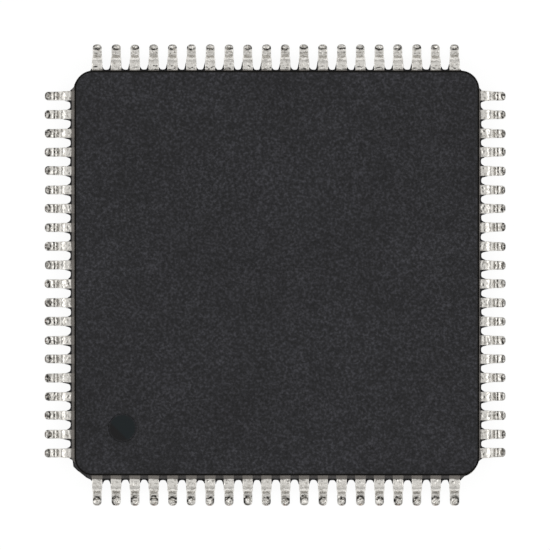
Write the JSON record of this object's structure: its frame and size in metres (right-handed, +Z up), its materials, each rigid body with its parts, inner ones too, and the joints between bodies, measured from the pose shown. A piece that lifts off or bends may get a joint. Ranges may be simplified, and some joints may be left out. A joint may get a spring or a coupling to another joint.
{
  "type": "quad flat pack chip",
  "caption": "Square low-profile quad flat package with a dark moulded body, a round pin-1 dimple and gull-wing leads along all four sides.",
  "frame": {"origin": "centre of the package on the plane that the feet stand on", "axes": "+Z up out of the top face, +X to the right and +Y to the back with the pin-1 dimple at the front left"},
  "size_m": [0.016, 0.016, 0.0015],
  "materials": {
    "moulding_compound": "fine matt epoxy moulding compound, with a polished dimple",
    "tin_plated_copper": "matt tin plate over a copper alloy, with bare copper where the tips were cut",
    "silver_plated_copper": "silver spot plate over a copper alloy",
    "silver_epoxy": "cured silver-filled adhesive",
    "silicon": "passivated silicon",
    "polyimide": "amber polyimide tape",
    "gold": "drawn gold wire"
  },
  "bodies": {
    "root": {"moulded_body": "moulding_compound", "die_paddle": "silver_plated_copper", "die_attach": "silver_epoxy", "die": "silicon", "lead_lock_tape": "polyimide", "front_leads": "tin_plated_copper", "right_leads": "tin_plated_copper", "back_leads": "tin_plated_copper", "left_leads": "tin_plated_copper", "front_bond_wires": "gold", "right_bond_wires": "gold", "back_bond_wires": "gold", "left_bond_wires": "gold"}
  },
  "joints": []
}
